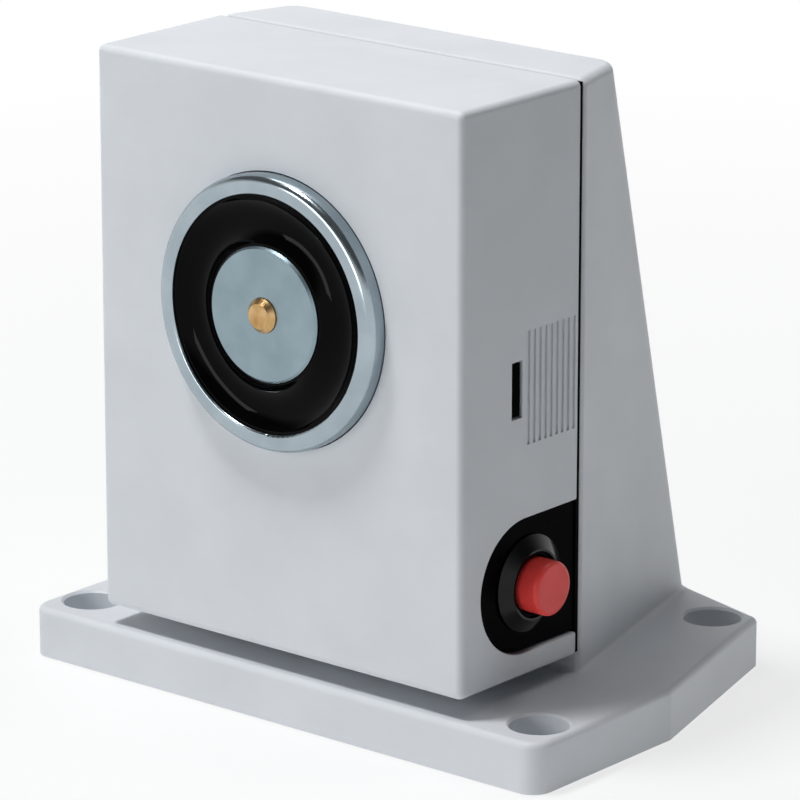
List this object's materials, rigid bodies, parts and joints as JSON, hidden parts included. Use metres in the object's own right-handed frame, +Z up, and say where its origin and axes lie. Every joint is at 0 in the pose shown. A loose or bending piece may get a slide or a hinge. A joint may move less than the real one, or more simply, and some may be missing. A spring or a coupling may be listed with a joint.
{
  "type": "electromagnetic door holder",
  "caption": "Floor-standing door holder: a boxed pot magnet on a tapered cast bracket with a screwed base flange and a red release button on its side.",
  "frame": {"origin": "on the floor, in the mid-plane, at the front face of the bracket's column", "axes": "+X to the right seen from the door, +Y back and away from the door, +Z up"},
  "size_m": [0.1212, 0.0914, 0.1193],
  "materials": {
    "bracket_paint": "satin powder coat on cast aluminium",
    "cover_plastic": "finely eroded light grey moulding",
    "black_moulding": "satin black moulding",
    "collar_plastic": "gloss black",
    "plated_steel": "bright nickel plate",
    "core_steel": "fine turned face",
    "cast_resin": "gloss black",
    "brass": "turned",
    "copper_wire": "enamelled",
    "zinc_steel": "zinc plate",
    "spring_steel": "drawn wire",
    "red_plastic": "satin red",
    "grommet_rubber": "matt",
    "coil_insulation": "black",
    "switch_insulation": "red"
  },
  "bodies": {
    "holder": {"floor_bracket": "bracket_paint", "front_cover": "cover_plastic", "carrier": "black_moulding", "carrier_screws": "zinc_steel", "magnet_pot": "plated_steel", "magnet_core": "core_steel", "coil_bobbin": "black_moulding", "coil_winding": "copper_wire", "potting_ring": "cast_resin", "magnet_screws": "zinc_steel", "ejector_spring": "spring_steel", "spring_plug": "zinc_steel", "collar_nut": "collar_plastic", "switch_body": "black_moulding", "button_spring": "spring_steel", "switch_tags": "brass", "terminal_block": "black_moulding", "terminal_clamps": "brass", "terminal_screws": "zinc_steel", "cable_grommet": "grommet_rubber", "coil_leads": "coil_insulation", "switch_leads": "switch_insulation"},
    "button": {"button_cap": "red_plastic", "plunger": "black_moulding"},
    "ejector": {"ejector_pin": "brass"}
  },
  "joints": [
    {"name": "button_press", "type": "slide", "parent": "holder", "child": "button", "axis": [-1, 0, 0], "range_m": [0, 0.0022], "stiffness_N_per_m": 800, "deforming": ["button_spring"]},
    {"name": "ejector_slide", "type": "slide", "parent": "holder", "child": "ejector", "axis": [0, 1, 0], "range_m": [0, 0.0012], "stiffness_N_per_m": 1500, "deforming": ["ejector_spring"]}
  ]
}
